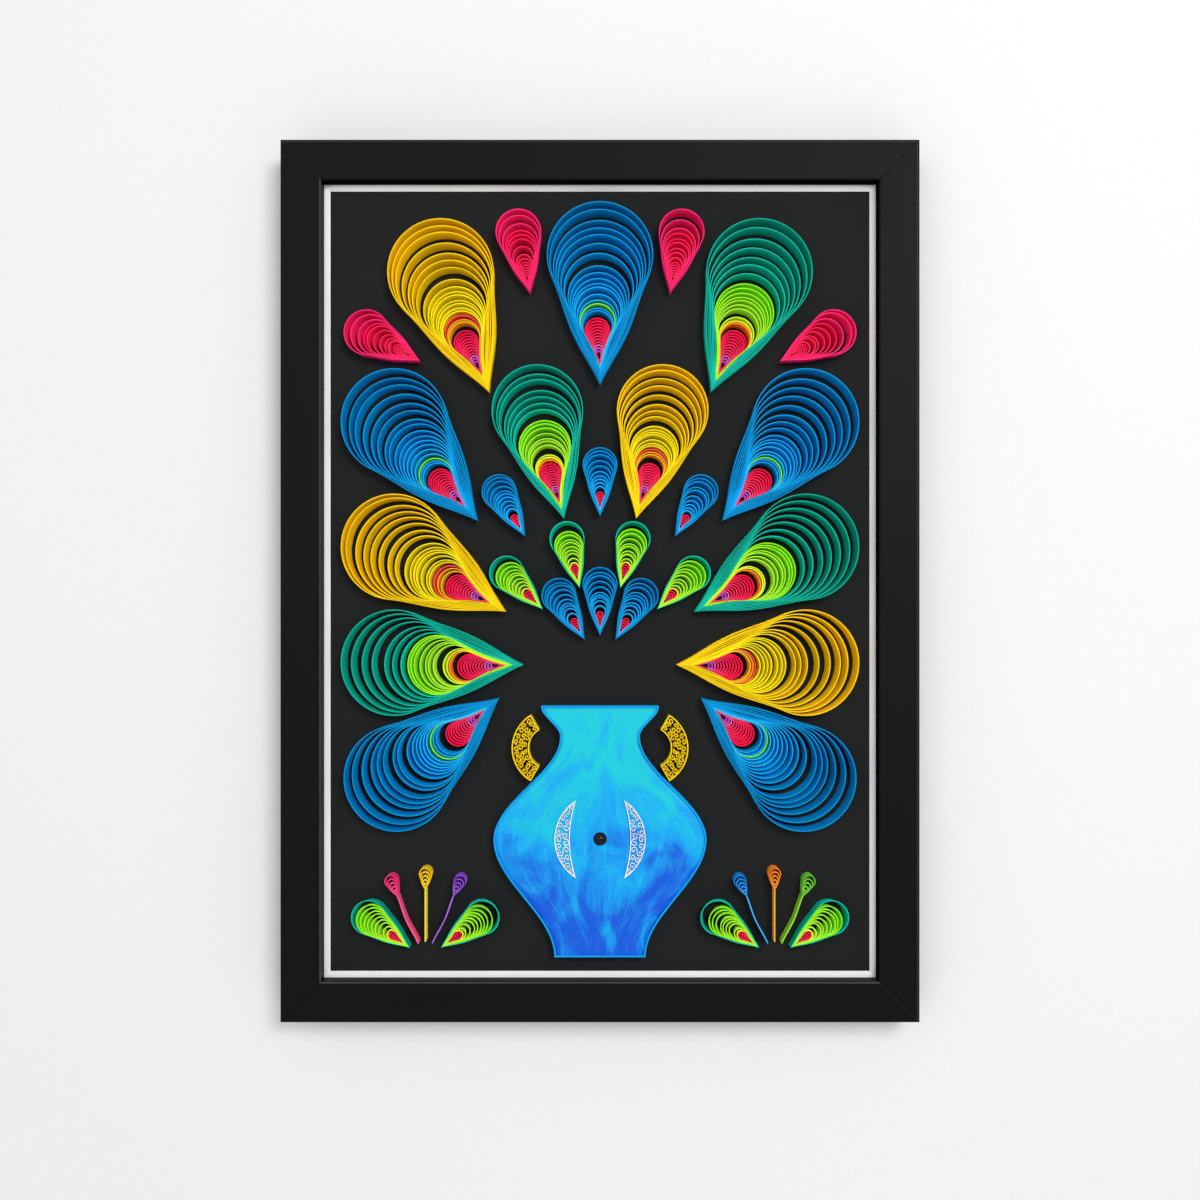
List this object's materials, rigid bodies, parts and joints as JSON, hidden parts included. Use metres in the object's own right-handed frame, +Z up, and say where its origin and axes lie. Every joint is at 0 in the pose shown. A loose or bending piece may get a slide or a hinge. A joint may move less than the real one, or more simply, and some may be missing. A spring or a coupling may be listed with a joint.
{
  "type": "framed quilled paper art",
  "caption": "Wall picture in quilled paper: rolled and pinched paper drops fan out of a painted vase on a black board, behind a white mat in a black wooden frame.",
  "frame": {"origin": "where the wall's nail sits: the middle notch of the sawtooth hanger, in the wall's plane", "axes": "+Z up, +Y from the picture into the wall, +X to the viewer's right"},
  "size_m": [0.336, 0.025, 0.464],
  "materials": {
    "black_art_board": "matte",
    "black_bead": "gloss",
    "black_frame_wood": "satin",
    "blue_paper": "matte",
    "deep_blue_paper": "matte",
    "fibre_board": "matte",
    "gilt_paper": "satin",
    "gold_paper": "matte",
    "green_paper": "matte",
    "grey_felt": "matte",
    "lime_paper": "matte",
    "orange_paper": "matte",
    "painted_board": "satin",
    "pink_paper": "matte",
    "plated_steel": "satin",
    "teal_paper": "matte",
    "violet_paper": "matte",
    "white_mat_board": "matte",
    "white_paper": "matte"
  },
  "bodies": {
    "root": {"art_board": "black_art_board", "back_panel": "fibre_board", "blue_drop_1": "blue_paper", "blue_drop_2": "blue_paper", "blue_drop_3": "blue_paper", "blue_drop_4": "blue_paper", "blue_drop_5": "blue_paper", "blue_drop_6": "blue_paper", "bottom_rail": "black_frame_wood", "corner_wedges": "plated_steel", "gold_handle_left": "gilt_paper", "gold_handle_right": "gilt_paper", "hanger_nails": "plated_steel", "left_rail": "black_frame_wood", "lime_drop_1": "lime_paper", "lime_drop_2": "lime_paper", "lime_drop_3": "lime_paper", "lime_drop_4": "lime_paper", "lime_drop_5": "lime_paper", "lime_drop_6": "lime_paper", "lime_drop_7": "lime_paper", "lime_drop_8": "lime_paper", "pink_drop_left_1": "pink_paper", "pink_drop_left_2": "pink_paper", "pink_drop_right_1": "pink_paper", "pink_drop_right_2": "pink_paper", "plume_inner_left": "teal_paper", "plume_inner_right": "gold_paper", "plume_left_1": "blue_paper", "plume_left_2": "teal_paper", "plume_left_3": "gold_paper", "plume_left_4": "blue_paper", "plume_left_5": "gold_paper", "plume_right_1": "blue_paper", "plume_right_2": "gold_paper", "plume_right_3": "teal_paper", "plume_right_4": "blue_paper", "plume_right_5": "teal_paper", "plume_top": "blue_paper", "retaining_points": "plated_steel", "right_rail": "black_frame_wood", "sawtooth_hanger": "plated_steel", "stem_bud_1": "violet_paper", "stem_bud_2": "gold_paper", "stem_bud_3": "pink_paper", "stem_bud_4": "green_paper", "stem_bud_5": "orange_paper", "stem_bud_6": "blue_paper", "top_rail": "black_frame_wood", "vase_bead": "black_bead", "vase_edging": "deep_blue_paper", "vase_panel": "painted_board", "wall_bumpers": "grey_felt", "white_crescent_left": "white_paper", "white_crescent_right": "white_paper", "window_mat": "white_mat_board"}
  },
  "joints": []
}
